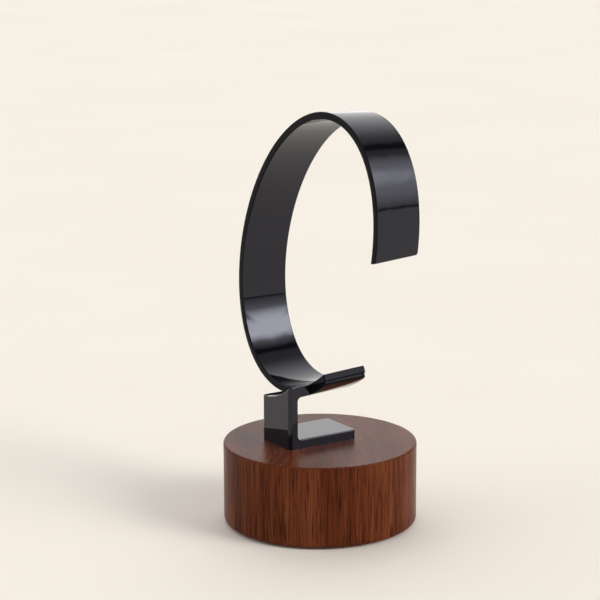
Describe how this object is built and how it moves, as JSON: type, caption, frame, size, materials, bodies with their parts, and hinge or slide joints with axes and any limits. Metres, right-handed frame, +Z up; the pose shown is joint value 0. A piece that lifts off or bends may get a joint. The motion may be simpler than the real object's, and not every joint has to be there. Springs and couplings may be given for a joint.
{
  "type": "watch stand",
  "caption": "Desk stand for one watch: a gloss black open oval strip, leaning forward, on a black C-shaped bracket above a round dark wooden base.",
  "frame": {"origin": "centre of the underside, on the resting plane", "axes": "+Z up, +X along the strip's width from the column to the bracket's open side, -Y towards the open mouth of the oval"},
  "size_m": [0.055, 0.0703, 0.1194],
  "materials": {
    "walnut_wood": "satin oiled dark walnut with straight grain",
    "pad_rubber": "matt soft foam rubber",
    "bracket_plastic": "polished black acrylic",
    "ring_plastic": "polished black acrylic",
    "screw_steel": "zinc-plated steel"
  },
  "bodies": {
    "root": {"wood_base": "walnut_wood", "base_pad": "pad_rubber", "stand_bracket": "bracket_plastic", "watch_ring": "ring_plastic", "base_screws": "screw_steel"}
  },
  "joints": []
}
